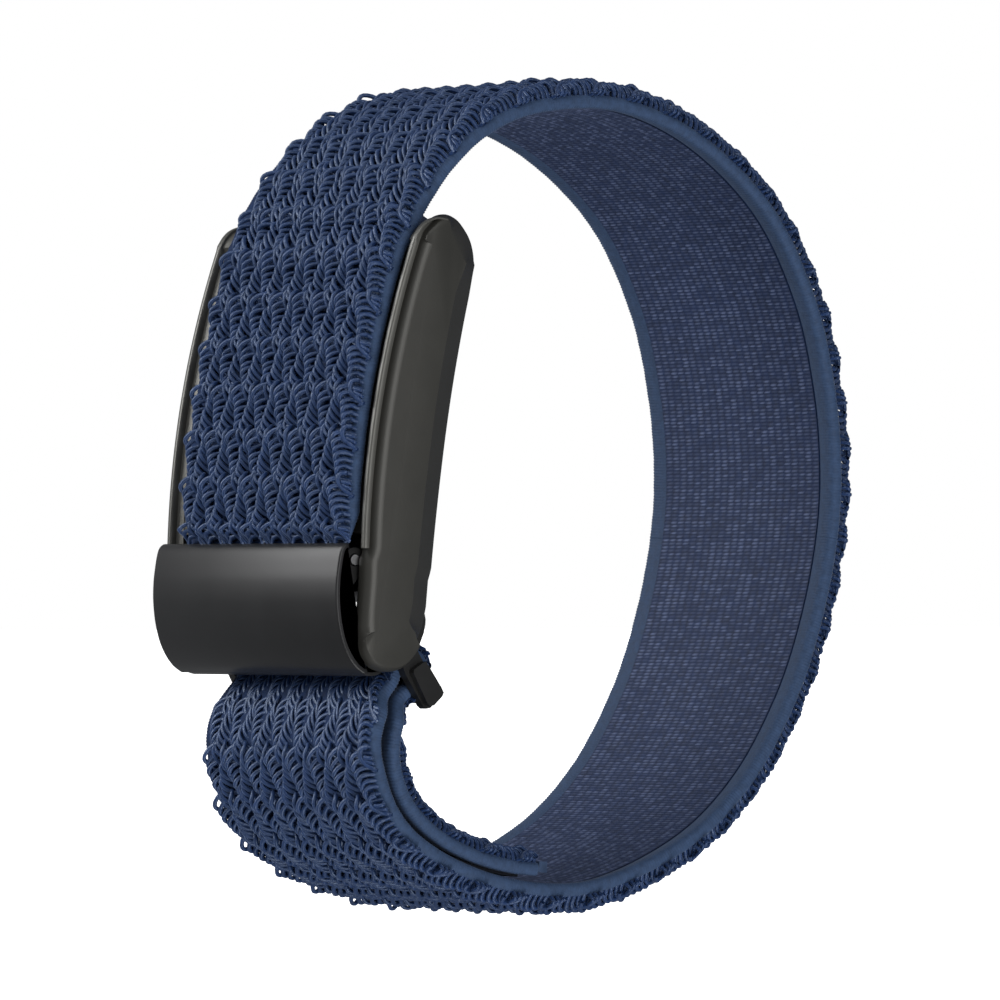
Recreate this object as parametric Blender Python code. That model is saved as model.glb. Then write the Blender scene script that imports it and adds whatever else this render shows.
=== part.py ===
"""Woven fitness band with a clip-in tracker module.

Frame: X is the wrist's axis, -Y is the side of the tracker, +Z is up.  The
origin is the middle of the loop.  The tracker side is drawn in its own tilted
frame (x, y, z): z runs up along the carrier and y points to the wrist.
"""
import math

import bmesh
import bpy
import numpy as np
from mathutils import Matrix, Vector

MM = 0.001

# ---- driving dimensions, millimetres -------------------------------------
POD_AT = (-16.85, 4.2)      # carrier's centre in Y, Z
POD_TILT = -8.6             # degrees about X
STRAP_HALF = 12.1           # half width of the woven strap
BASE_T = 0.55               # half thickness of its ground weave
PILE_T = 1.4                # ribbed side above the middle line
CARRIER_HALF = 13.75        # half width of the carrier
CHEEK_IN = 12.45            # inner faces of its side cheeks
RAIL_Y = -4.6               # outer crown of the cheeks
RAIL_R2 = 144.0             # y = RAIL_Y + z^2 / RAIL_R2
FLOOR_Y = -4.05             # floor of the strap channel
POCKET_HALF = 12.05
POCKET_Z = (-11.15, 14.15)
MODULE_HALF = 11.9
MODULE_Z = (-11.0, 14.0)
CLASP_AT = (-3.7, -9.6)     # clasp pin, y and z in the tilted frame
HINGE_AT = (1.9, -13.45)    # buckle hinge
ANCHOR_AT = (-0.3, 16.1)    # bar that the strap's root tab goes round
LATCH_AT = (-0.8, -16.2)    # bar that the clasp's lip grips
BAR_U = (-16.3, -13.0)      # buckle's strap bar, Y and Z
BAR_L = (-14.88, -15.28)    # buckle's lower bar
LIFT_AT = (-17.2, 20.1)     # line on which the strap's flap lifts
FOLD_R = (7.5, 7.85, 8.35)  # strap stretches as measured from the buckle hinge

for ob in list(bpy.data.objects):
    bpy.data.objects.remove(ob, do_unlink=True)

scene = bpy.context.scene
parts = bpy.data.collections.new("fitness_tracker_band")
tools = bpy.data.collections.new("cutters")
scene.collection.children.link(parts)
scene.collection.children.link(tools)

C, S = math.cos(math.radians(POD_TILT)), math.sin(math.radians(POD_TILT))
POD = Matrix.Translation((0, POD_AT[0] * MM, POD_AT[1] * MM)) @ Matrix.Rotation(
    math.radians(POD_TILT), 4, "X")


def to_world(y, z):
    """A point of the tilted frame as Y, Z."""
    return (POD_AT[0] + C * y - S * z, POD_AT[1] + S * y + C * z)


def to_pod(y, z):
    dy, dz = y - POD_AT[0], z - POD_AT[1]
    return (C * dy + S * dz, -S * dy + C * dz)


def material(name, rgb, rough, metal=0.0):
    m = bpy.data.materials.new(name)
    m.use_nodes = True
    p = m.node_tree.nodes["Principled BSDF"]
    p.inputs["Base Color"].default_value = (*rgb, 1)
    p.inputs["Roughness"].default_value = rough
    p.inputs["Metallic"].default_value = metal
    return m


MATS = {
    "knit_navy": material("knit_navy", (0.018, 0.032, 0.085), 0.85),
    "webbing": material("webbing", (0.03, 0.045, 0.09), 0.9),
    "hook_tape": material("hook_tape", (0.02, 0.025, 0.04), 0.7),
    "carrier_grey": material("carrier_grey", (0.07, 0.068, 0.06), 0.42, 0.6),
    "cover_black": material("cover_black", (0.02, 0.02, 0.021), 0.35, 0.5),
    "buckle_black": material("buckle_black", (0.02, 0.02, 0.02), 0.4, 0.3),
    "steel": material("steel", (0.55, 0.55, 0.56), 0.3, 1.0),
    "case_black": material("case_black", (0.015, 0.015, 0.016), 0.45),
    "gasket": material("gasket", (0.02, 0.02, 0.02), 0.8),
    "window_dark": material("window_dark", (0.01, 0.01, 0.012), 0.1),
    "barrier": material("barrier", (0.01, 0.01, 0.01), 0.9),
    "board_green": material("board_green", (0.01, 0.09, 0.04), 0.5),
    "chip_black": material("chip_black", (0.02, 0.02, 0.02), 0.5),
    "led_clear": material("led_clear", (0.75, 0.85, 0.7), 0.2),
    "diode_dark": material("diode_dark", (0.03, 0.02, 0.05), 0.15),
    "cell_silver": material("cell_silver", (0.6, 0.6, 0.62), 0.4, 0.8),
    "copper": material("copper", (0.75, 0.35, 0.18), 0.35, 1.0),
    "ferrite": material("ferrite", (0.05, 0.05, 0.055), 0.6),
    "flex_amber": material("flex_amber", (0.5, 0.22, 0.03), 0.4),
}


def empty(name, at, parent=None):
    e = bpy.data.objects.new(name, None)
    e.empty_display_size = 0.004
    parts.objects.link(e)
    e.location = at
    if parent:
        e.parent = parent
    return e


def finish(name, mesh, mat, axis=None, parent=None, collection=None):
    """Links a mesh given in the row frame, with its origin on its joint's axis."""
    at = Vector(axis) if axis is not None else Vector((0, 0, 0))
    mesh.transform(Matrix.Translation(-at))
    ob = bpy.data.objects.new(name, mesh)
    (collection or parts).objects.link(ob)
    if parent is not None:
        ob.parent = parent
        ob.location = at - Vector(parent.location)
    else:
        ob.location = at
    mesh.materials.clear()
    if mat:
        mesh.materials.append(MATS[mat])
    mesh.shade_smooth()
    mesh.set_sharp_from_angle(angle=math.radians(32))
    return ob


def mesh_from(bm, name, loft=False):
    if loft:
        bmesh.ops.recalc_face_normals(bm, faces=bm.faces)
    if bm.calc_volume(signed=True) < 0:
        bmesh.ops.reverse_faces(bm, faces=bm.faces)
    me = bpy.data.meshes.new(name)
    bm.to_mesh(me)
    bm.free()
    return me


def outward(me):
    bm = bmesh.new()
    bm.from_mesh(me)
    if bm.calc_volume(signed=True) < 0:
        bmesh.ops.reverse_faces(bm, faces=bm.faces)
    bm.to_mesh(me)
    bm.free()
    return me


def slab(name, outline, x0, x1, tilt=True):
    """A flat outline in y, z with its thickness along X, as a filled 2D curve."""
    cu = bpy.data.curves.new(name, "CURVE")
    cu.dimensions = "2D"
    cu.fill_mode = "BOTH"
    cu.extrude = (x1 - x0) / 2 * MM
    sp = cu.splines.new("POLY")
    sp.points.add(len(outline) - 1)
    for p, (y, z) in zip(sp.points, outline, strict=True):
        p.co = (y * MM, z * MM, 0, 1)
    sp.use_cyclic_u = True
    ob = bpy.data.objects.new(name + "_curve", cu)
    scene.collection.objects.link(ob)
    bpy.context.view_layer.update()
    dg = bpy.context.evaluated_depsgraph_get()
    me = bpy.data.meshes.new_from_object(ob.evaluated_get(dg))
    bpy.data.objects.remove(ob, do_unlink=True)
    bm = bmesh.new()
    bm.from_mesh(me)
    bmesh.ops.remove_doubles(bm, verts=bm.verts, dist=1e-6)
    # curve's x, y, z become Y, Z, X
    turn = Matrix(((0, 0, 1, (x0 + x1) / 2 * MM), (1, 0, 0, 0), (0, 1, 0, 0), (0, 0, 0, 1)))
    bm.transform((POD if tilt else Matrix.Identity(4)) @ turn)
    bmesh.ops.recalc_face_normals(bm, faces=bm.faces)
    bm.to_mesh(me)
    bm.free()
    return outward(me)


def plan(name, outline, y0, y1):
    """A flat outline in x, z with its thickness along the tilted frame's y."""
    me = slab(name, outline, y0, y1, tilt=False)
    swap = Matrix(((0, 1, 0, 0), (1, 0, 0, 0), (0, 0, 1, 0), (0, 0, 0, 1)))
    me.transform(POD @ swap)
    return outward(me)


def box(name, x, y, z, bevel=0.0):
    bm = bmesh.new()
    bmesh.ops.create_cube(bm, size=1.0)
    size = [(b - a) * MM for a, b in (x, y, z)]
    mid = [(b + a) / 2 * MM for a, b in (x, y, z)]
    bmesh.ops.scale(bm, vec=size, verts=bm.verts)
    bmesh.ops.translate(bm, vec=mid, verts=bm.verts)
    if bevel:
        bmesh.ops.bevel(bm, geom=list(bm.edges), offset=bevel * MM, segments=2,
                        affect="EDGES", profile=0.5)
    bm.transform(POD)
    return mesh_from(bm, name)


def rod(name, at, r, x0, x1, seg=24, tilt=True, bevel=0.0):
    """A round bar along X at y, z."""
    bm = bmesh.new()
    bmesh.ops.create_cone(bm, cap_ends=True, segments=seg, radius1=r * MM,
                          radius2=r * MM, depth=(x1 - x0) * MM)
    bm.transform(Matrix.Translation(((x0 + x1) / 2 * MM, at[0] * MM, at[1] * MM))
                 @ Matrix.Rotation(math.pi / 2, 4, "Y"))
    if bevel:
        rim = [e for e in bm.edges if abs(e.verts[0].co.x - e.verts[1].co.x) < 1e-7]
        bmesh.ops.bevel(bm, geom=rim, offset=bevel * MM, segments=2, affect="EDGES", profile=0.5)
    if tilt:
        bm.transform(POD)
    return mesh_from(bm, name)


def disc(name, x, z, r, y0, y1, seg=24, r_end=None):
    """A round piece along the tilted frame's y."""
    bm = bmesh.new()
    bmesh.ops.create_cone(bm, cap_ends=True, segments=seg, radius1=r * MM,
                          radius2=(r if r_end is None else r_end) * MM, depth=(y1 - y0) * MM)
    bm.transform(POD @ Matrix.Translation((x * MM, (y0 + y1) / 2 * MM, z * MM))
                 @ Matrix.Rotation(-math.pi / 2, 4, "X"))
    return mesh_from(bm, name)


def combine(me, others, how):
    """Boolean of a mesh with each of the others in turn, EXACT solver."""
    name = me.name
    for k, other in enumerate(others):
        ob = bpy.data.objects.new("work", me)
        scene.collection.objects.link(ob)
        tool = bpy.data.objects.new(f"cut_{name}_{k}", other)
        tools.objects.link(tool)
        tool.hide_render = True
        tool.display_type = "WIRE"
        mod = ob.modifiers.new("cut", "BOOLEAN")
        mod.object = tool
        mod.operation = how
        mod.solver = "EXACT"
        bpy.context.view_layer.update()
        dg = bpy.context.evaluated_depsgraph_get()
        out = bpy.data.meshes.new_from_object(ob.evaluated_get(dg))
        bpy.data.objects.remove(ob, do_unlink=True)
        bpy.data.objects.remove(tool, do_unlink=True)
        bm = bmesh.new()
        bm.from_mesh(out)
        bmesh.ops.remove_doubles(bm, verts=bm.verts, dist=2e-7)
        bmesh.ops.triangulate(bm, faces=bm.faces)
        bm.to_mesh(out)
        bm.free()
        me = out
    me.name = name
    return me


def cut(me, *others):
    return combine(me, others, "DIFFERENCE")


def join(me, *others):
    return combine(me, others, "UNION")


def arc(cy, cz, r, a0, a1, n):
    return [(cy + r * math.cos(math.radians(a0 + (a1 - a0) * k / n)),
             cz + r * math.sin(math.radians(a0 + (a1 - a0) * k / n))) for k in range(n + 1)]


def rounded(w, h, r, n=5, cx=0.0, cz=0.0):
    out = []
    for sx, sz, a in ((1, 1, 0), (-1, 1, 90), (-1, -1, 180), (1, -1, 270)):
        out += arc(cx + sx * (w - r), cz + sz * (h - r), r, a, a + 90, n)
    return out


# ---- the strap's middle line ----------------------------------------------
def catmull(points, per=14):
    p = [np.array(q, float) for q in points]
    p = [2 * p[0] - p[1], *p, 2 * p[-1] - p[-2]]
    out = []
    for i in range(1, len(p) - 2):
        for k in range(per):
            t = k / per
            a, b, c, d = p[i - 1], p[i], p[i + 1], p[i + 2]
            out.append(0.5 * (2 * b + (c - a) * t + (2 * a - 5 * b + 4 * c - d) * t * t
                              + (3 * b - a - 3 * c + d) * t ** 3))
    out.append(p[-2])
    return out


def even(points, step):
    p = np.array(points, float)
    d = np.concatenate([[0], np.cumsum(np.linalg.norm(np.diff(p, axis=0), axis=1))])
    n = max(2, round(d[-1] / step))
    s = np.linspace(0, d[-1], n + 1)
    return np.stack([np.interp(s, d, p[:, k]) for k in (0, 1)], axis=1)


EYE_R = 0.86
eye = [to_world(*q) for q in arc(*CLASP_AT, EYE_R, 112, -180, 22)]
over_pod = [to_world(RAIL_Y - 0.15 + z * z / RAIL_R2, z) for z in (-5.0, -1.0, 3.0, 7.0, 11.0, 14.3)]
into_clasp = [to_world(-4.44, -9.0), to_world(-4.28, -8.3), to_world(-4.3, -7.2)]
loop_line = [LIFT_AT, (-15.94, 22.36), (-13.4, 25.6), (-9.8, 28.5), (-4.7, 30.4), (2.9, 30.7),
             (10.5, 28.1), (17.3, 22.7), (21.4, 15.7), (23.3, 8.7), (23.9, 2.4), (23.5, -3.1),
             (22.0, -9.4), (19.5, -15.6), (15.3, -21.9), (9.5, -26.7), (1.0, -30.0),
             (-6.6, -30.0), (-13.6, -27.9), (-18.2, -24.5), (-20.2, -19.2), (-19.2, -15.5),
             (-18.1, -14.1)]
over_bar = arc(*BAR_U, 1.35, 180, 0, 14)
down = [(-15.25, -14.0), (-16.1, -14.75), (-17.1, -15.6), (-17.9, -17.7), (-18.1, -20.0),
        (-17.45, -22.2), (-16.1, -24.1), (-13.7, -25.9), (-10.6, -27.25), (-7.0, -28.1),
        (-3.5, -28.4)]
line = np.array(list(eye) + catmull(into_clasp + over_pod + loop_line + over_bar[::2] + down, 10))
line = even(line, 0.25)
for _ in range(3):
    line[1:-1] = 0.25 * line[:-2] + 0.5 * line[1:-1] + 0.25 * line[2:]
arc_s = np.concatenate([[0], np.cumsum(np.linalg.norm(np.diff(line, axis=0), axis=1))])
H = np.array(to_world(*HINGE_AT))
s_lift = arc_s[np.argmin(np.linalg.norm(line - np.array(LIFT_AT), axis=1))]
from_h = np.linalg.norm(line - H, axis=1)
s_bar = arc_s[np.argmin(np.linalg.norm(line - np.array([BAR_U[0], BAR_U[1] + 1.35]), axis=1))]


def s_at(radius, after):
    """Where the line crosses a circle round the buckle hinge, before or after the bar."""
    ok = (arc_s > s_bar) if after else ((arc_s < s_bar) & (arc_s > s_bar - 30))
    idx = np.where(ok)[0]
    return arc_s[idx[np.argmin(abs(from_h[idx] - radius))]]


def ribbon(name, s0, s1, step, half, lower, upper, crown, crown_half):
    """A strap stretch: half, lower, upper and crown are functions of s, in millimetres."""
    if np.ndim(step):
        s = np.array(step)
    else:
        s = np.linspace(s0, s1, max(2, round((s1 - s0) / step)) + 1)
    n = len(s) - 1
    pos = np.stack([np.interp(s, arc_s, line[:, k]) for k in (0, 1)], axis=1)
    e = 0.3
    ahead = np.stack([np.interp(s + e, arc_s, line[:, k]) for k in (0, 1)], axis=1)
    back = np.stack([np.interp(s - e, arc_s, line[:, k]) for k in (0, 1)], axis=1)
    t = ahead - back
    t /= np.linalg.norm(t, axis=1)[:, None]
    nrm = np.stack([-t[:, 1], t[:, 0]], axis=1)
    bm = bmesh.new()
    rings = []
    for i in range(n + 1):
        w, a, b, c = half(s[i]), lower(s[i]), upper(s[i]), crown(s[i])
        wc = min(crown_half, w - 0.6)
        sec = [(-w, -a), (w, -a), (w, b), (wc + 0.35, b), (wc, c), (-wc, c), (-wc - 0.35, b), (-w, b)]
        rings.append([bm.verts.new((x * MM, (pos[i, 0] + nrm[i, 0] * h) * MM,
                                    (pos[i, 1] + nrm[i, 1] * h) * MM)) for x, h in sec])
    for r0, r1 in zip(rings, rings[1:], strict=False):
        for k in range(8):
            bm.faces.new((r0[k], r0[(k + 1) % 8], r1[(k + 1) % 8], r1[k]))
    bm.faces.new(rings[0])
    bm.faces.new(rings[-1][::-1])
    return mesh_from(bm, name, True)


def ramp(s, a, b, va, vb):
    t = min(1, max(0, (s - a) / (b - a)))
    return va + (vb - va) * t * t * (3 - 2 * t)


# ---- strap ------------------------------------------------------------------
S_FLAP = s_lift - 2.0
S_LOOP = s_lift + 2.0
S_OUT0, S_OUT1 = s_at(FOLD_R[1], False), s_at(FOLD_R[0], False)
S_IN0, S_IN1 = s_at(FOLD_R[0], True), s_at(FOLD_R[2], True)
S_END = arc_s[-1]
S_EYE = arc_s[np.argmin(np.linalg.norm(line - np.array(to_world(-4.28, -8.3)), axis=1))]

LIFT = (0, LIFT_AT[0] * MM, LIFT_AT[1] * MM)
HINGE = (0, H[0] * MM, H[1] * MM)
PIN_W = to_world(*CLASP_AT)
PIN = (0, PIN_W[0] * MM, PIN_W[1] * MM)
K = np.array([np.interp(S_IN1 - 0.35, arc_s, line[:, k]) for k in (0, 1)])
PEEL = (0, K[0] * MM, K[1] * MM)

band_root = empty("band_axis", (0, 0, 0))
lift_axis = empty("flap_lift_axis", LIFT)
clasp_axis = empty("clasp_open_axis", PIN)
buckle_axis = empty("buckle_swing_axis", HINGE)
peel_axis = empty("tail_peel_axis", PEEL)
module_axis = empty("tracker_release_axis", (0, POD_AT[0] * MM, POD_AT[1] * MM))

finish("strap_loop", ribbon(
    "strap_loop", S_LOOP, S_OUT0, 2.2, lambda s: STRAP_HALF, lambda s: BASE_T, lambda s: BASE_T,
    lambda s: ramp(s, S_OUT0 - 4, S_OUT0, PILE_T, 0.7), 10.5), "knit_navy", parent=band_root)
finish("strap_bend_top", ribbon(
    "strap_bend_top", S_FLAP + 0.15, S_LOOP - 0.15, 0.9, lambda s: STRAP_HALF, lambda s: BASE_T,
    lambda s: BASE_T, lambda s: PILE_T, 10.5), "knit_navy", parent=band_root)
finish("strap_flap", ribbon(
    "strap_flap", 0.0, S_FLAP,
    [*np.arange(0.0, S_EYE, 0.4), *np.linspace(S_EYE, S_FLAP, 19)],
    lambda s: ramp(s, S_EYE - 1, S_EYE + 2.5, 11.2, STRAP_HALF),
    lambda s: ramp(s, S_EYE + 0.5, S_EYE + 3.2, 0.25, BASE_T),
    lambda s: ramp(s, S_EYE + 0.3, S_EYE + 2.6, 0.25, BASE_T),
    lambda s: ramp(s, S_EYE + 0.6, S_EYE + 3.6, 0.28, PILE_T), 10.5),
    "knit_navy", axis=LIFT, parent=lift_axis)
finish("strap_fold", ribbon(
    "strap_fold", S_OUT1, S_IN0, 0.9, lambda s: 11.2, lambda s: 0.5, lambda s: 0.5,
    lambda s: 0.52, 10.0), "knit_navy", axis=HINGE, parent=buckle_axis)
finish("strap_tail", ribbon(
    "strap_tail", S_IN1, S_END - 1.6, 1.6, lambda s: STRAP_HALF, lambda s: BASE_T, lambda s: BASE_T,
    lambda s: ramp(s, S_IN1 + 0.4, S_IN1 + 2.2, 0.57, PILE_T - 0.3), 10.5),
    "knit_navy", axis=PEEL, parent=peel_axis)
finish("tail_tip", ribbon(
    "tail_tip", S_END - 1.3, S_END, 0.6, lambda s: ramp(s, S_END - 1.3, S_END, 12.1, 11.3),
    lambda s: 0.42, lambda s: 0.42, lambda s: 0.44, 10.0),
    "webbing", axis=PEEL, parent=peel_axis)
finish("hook_patch", ribbon(
    "hook_patch", S_END - 13.0, S_END - 2.2, 1.5, lambda s: 10.6,
    lambda s: 0.85, lambda s: -0.62, lambda s: -0.60, 9.9),
    "hook_tape", axis=PEEL, parent=peel_axis)

# ---- carrier ------------------------------------------------------------------
def top(z):
    return RAIL_Y + z * z / RAIL_R2


def under(z):
    return 2.8 + z * z / (250.0 if z > 0 else 420.0)


def chamfer(z):
    """How far the side face stops short of the wrist edge."""
    up = min(1, max(0, (z + 12.6) / 2.0))
    dn = min(1, max(0, (15.2 - z) / 1.6))
    return 0.6 + 1.4 * min(up, dn)


ZS = np.linspace(-15.2, 15.4, 25)


def carrier_section(full):
    out = [(top(z), z) for z in ZS]
    out += [(-2.45, 16.45), (-1.75, 17.15), (-0.85, 17.6), (0.2, 17.73), (1.3, 17.5), (2.2, 16.95)]
    for z in ZS[::-1]:
        low = under(z) if z > -12.5 else under(-12.5) - 0.29 * (-12.5 - z)
        out.append((low if full else low - chamfer(z), z))
    out += [(1.95, -16.2), (1.3, -17.05), (0.6, -17.5), (-0.3, -17.7), (-1.2, -17.62), (-2.1, -17.2),
            (-2.75, -16.4)]
    return out


def carrier_body():
    """Flat sides, with a chamfer to the wrist that fades out at both ends."""
    full, side = carrier_section(True), carrier_section(False)
    bm = bmesh.new()
    rings = [[bm.verts.new((x * MM, y * MM, z * MM)) for y, z in pts]
             for x, pts in ((-CARRIER_HALF, side), (1.1 - CARRIER_HALF, full),
                                (CARRIER_HALF - 1.1, full), (CARRIER_HALF, side))]
    n = len(full)
    for r0, r1 in zip(rings, rings[1:], strict=False):
        for k in range(n):
            bm.faces.new((r0[k], r0[(k + 1) % n], r1[(k + 1) % n], r1[k]))
    bm.faces.new(rings[0])
    bm.faces.new(rings[-1][::-1])
    rails = [e for e in bm.edges
             if all(abs(abs(v.co.x) - CARRIER_HALF * MM) < 1e-7 and v.co.y < 0.001 for v in e.verts)]
    bmesh.ops.recalc_face_normals(bm, faces=bm.faces)
    bmesh.ops.bevel(bm, geom=rails, offset=0.22 * MM, segments=2, affect="EDGES", profile=0.5)
    bm.transform(POD)
    return mesh_from(bm, "carrier_frame", True)


floor_line = [(FLOOR_Y + z * z / RAIL_R2, z) for z in np.linspace(14.8, -7.5, 16)]
channel = slab("channel", [(-9, -19), (-9, 19), (9, 19), (9, 14.8)] + floor_line
               + [(-2.4, -7.5), (-2.4, -11.85), (9, -11.85), (9, -19)], -CHEEK_IN, CHEEK_IN)


def roof(z):
    return -2.6 + z * z / 144.0


pocket = slab("pocket", [(9, POCKET_Z[0]), (-1.75, POCKET_Z[0]), (-1.75, -6.9)]
              + [(roof(z), z) for z in np.linspace(-6.9, POCKET_Z[1], 13)] + [(9, POCKET_Z[1])],
              -POCKET_HALF, POCKET_HALF)
grooves = []
for side in (-1, 1):
    zz = np.linspace(-13.6, 14.4, 15)
    x0, x1 = sorted((side * (CARRIER_HALF - 0.18), side * (CARRIER_HALF + 0.5)))
    grooves.append(slab("groove", [(top(z) + 0.62, z) for z in zz]
                        + [(top(z) + 1.0, z) for z in zz[::-1]], x0, x1))
holes = [rod("hole", at, r, -12.98, 12.98, 24) for at, r in
         ((HINGE_AT, 0.53), (ANCHOR_AT, 0.68), (LATCH_AT, 0.68))]
carrier = cut(carrier_body(), channel, pocket, *holes, *grooves)
finish("carrier_frame", carrier, "carrier_grey", parent=band_root)

finish("top_anchor_bar", rod("top_anchor_bar", ANCHOR_AT, 0.6, -12.9, 12.9, 20), "steel", parent=band_root)
finish("latch_bar", rod("latch_bar", LATCH_AT, 0.6, -12.9, 12.9, 20), "steel", parent=band_root)
finish("buckle_pin", rod("buckle_pin", HINGE_AT, 0.45, -12.9, 12.9, 20), "steel", parent=band_root)

# root tab: a sewn textile eye round the anchor bar, with a nose up to the strap
tab = [(-1.53, 16.7), (-1.12, 17.75)] + arc(*ANCHOR_AT, 1.25, 70, -200, 18)
tab_me = cut(slab("anchor_tab", tab, -10.8, 10.8), rod("tab_hole", ANCHOR_AT, 0.69, -12, 12, 20))
finish("anchor_tab", tab_me, "webbing", parent=band_root)

# ---- clasp ------------------------------------------------------------------
cover_line = [(-5.0, -8.55), (-5.3, -8.75), (-5.5, -9.2), (-5.57, -10.2), (-5.55, -11.4),
              (-5.42, -12.65), (-5.2, -13.7), (-4.88, -14.75), (-4.35, -15.95), (-3.65, -16.95),
              (-2.8, -17.72), (-1.9, -18.15)]


def inset(points, t):
    p = np.array(points)
    d = np.gradient(p, axis=0)
    d /= np.linalg.norm(d, axis=1)[:, None]
    return [tuple(q) for q in p + t * np.stack([-d[:, 1], d[:, 0]], axis=1)]


cover_in = inset(cover_line, 0.5)
cover_in[0] = (-4.97, -8.72)
cover_in[1] = (-5.0, -9.0)
cover = slab("clasp_cover", cover_line + cover_in[::-1], -12.75, 12.75)
bm = bmesh.new()
bm.from_mesh(cover)
outer = []
for e in bm.edges:
    if abs(e.verts[0].co.x - e.verts[1].co.x) < 1e-7 and abs(abs(e.verts[0].co.x) - 12.75 * MM) < 1e-7:
        q = [to_pod(v.co.y / MM, v.co.z / MM) for v in e.verts]
        if all(min(math.dist(a, b) for b in cover_line) < 0.01 for a in q) and len(e.link_faces) == 2:
            outer.append(e)
bmesh.ops.bevel(bm, geom=outer, offset=0.2 * MM, segments=2, affect="EDGES", profile=0.5)
bm.to_mesh(cover)
bm.free()
lip_line = [(-1.9, -18.1), (-1.2, -18.2), (-0.4, -18.05), (0.1, -17.65)]
lip_in = [(0.02, -17.3), (-0.4, -17.5), (-1.1, -17.7), (-1.75, -17.6)]
lip = slab("lip", [(-2.35, -17.9)] + lip_line + lip_in, -12.15, 12.15)
cover = join(cover, lip)
finish("clasp_cover", cover, "cover_black", axis=PIN, parent=clasp_axis)

frame_line = inset(cover_line, 0.66)[4:10]
frame = slab("clasp_frame", frame_line + inset(frame_line, 0.5)[::-1], -12.2, 12.2)
lugs = []
for side in (-1, 1):
    x0, x1 = sorted((side * 11.5, side * 12.1))
    lug = [(-4.75, -12.4), (-4.9, -10.2)] + arc(*CLASP_AT, 0.95, 170, 10, 8) + [(-2.75, -10.3), (-4.25, -12.5)]
    lugs.append(slab("lug", lug, x0, x1))
frame = cut(join(frame, *lugs), rod("pin_hole", CLASP_AT, 0.5, -13, 13, 20))
finish("clasp_frame", frame, "steel", axis=PIN, parent=clasp_axis)
finish("clasp_pin", rod("clasp_pin", CLASP_AT, 0.4, -12.2, 12.2, 20), "steel", axis=PIN, parent=clasp_axis)
spring_line = inset(cover_line, 1.32)[4:7] + [(-3.45, -14.1), (-2.9, -14.6), (-2.2, -14.85)]
finish("latch_spring", slab("latch_spring", spring_line + inset(spring_line, 0.18)[::-1], -5.0, 5.0),
       "steel", axis=PIN, parent=clasp_axis)

# ---- buckle -------------------------------------------------------------------
leg = arc(*HINGE_AT, 1.45, 200, -2, 14) + [(3.3, -14.2), (3.05, -15.1), (2.95, -15.6), (3.35, -16.1),
      (5.3, -18.1), (5.6, -18.5), (5.5, -18.85), (4.75, -19.75), (4.35, -19.87), (4.05, -19.7),
      (2.15, -17.6), (1.75, -17.0), (1.45, -15.6)]
pad = [(2.2, -17.3), (2.2, -17.0), (3.0, -16.3), (3.35, -16.1), (5.3, -18.1), (5.6, -18.5), (5.5, -18.85),
       (4.75, -19.75), (4.35, -19.87), (4.05, -19.7)]
mid = np.mean(np.array(pad), axis=0)
pad = [tuple(mid + 0.88 * (np.array(q) - mid)) for q in pad]
bar_u, bar_l = to_pod(*BAR_U), to_pod(*BAR_L)
pieces = []
for side in (-1, 1):
    x0, x1 = sorted((side * 11.5, side * 12.3))
    pieces.append(slab("leg", leg, x0, x1))
    x0, x1 = sorted((side * 12.1, side * 12.9))
    pieces.append(slab("pad", pad, x0, x1))
pieces.append(rod("bar_l", bar_l, 0.42, -12.0, 12.0, 20))
ring = join(rod("buckle_ring", bar_u, 0.7, -12.0, 12.0, 24), *pieces)
ring = cut(ring, rod("eye_hole", HINGE_AT, 0.52, -14, 14, 20))
finish("buckle_ring", ring, "buckle_black", axis=HINGE, parent=buckle_axis)

# ---- tracker module -----------------------------------------------------------
MY, MZ = module_axis, (MODULE_Z[0] + MODULE_Z[1]) / 2
AX = (0, POD_AT[0] * MM, POD_AT[1] * MM)


def shell_top(z):
    return -2.4 + z * z / 144.0


def module(name, me, mat):
    return finish(name, me, mat, axis=AX, parent=module_axis)


def module_profile(grow, y_end):
    z0, z1 = MODULE_Z[0] + grow, MODULE_Z[1] - grow
    zz = np.linspace(-6.5 + grow, z1, 12)
    return ([(y_end, z0), (-1.55 + grow, z0), (-1.55 + grow, -6.5 + grow)]
            + [(shell_top(z) + grow, z) for z in zz] + [(y_end, z1)])


plan_out = rounded(MODULE_HALF, 12.5, 2.0, cz=MZ)
case = slab("case_top", module_profile(0.0, 1.0), -MODULE_HALF, MODULE_HALF)
case = combine(case, [plan("trim", plan_out, -6, 6)], "INTERSECT")
hollow = slab("hollow", module_profile(0.7, 3.0), -MODULE_HALF + 0.7, MODULE_HALF - 0.7)
SCREWS = ((-8.6, 11.9), (8.6, 11.9))
case = cut(case, hollow, *[disc("boss", x, z, 0.5, -1.0, 0.0, 16) for x, z in SCREWS])
module("case_top", case, "case_black")

ring_out = plan("case_gasket", rounded(MODULE_HALF - 0.1, 12.4, 1.9, cz=MZ), 1.12, 1.38)
module("case_gasket", cut(ring_out, plan("g_in", rounded(MODULE_HALF - 0.6, 11.9, 1.4, cz=MZ), 0, 3)), "gasket")

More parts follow.
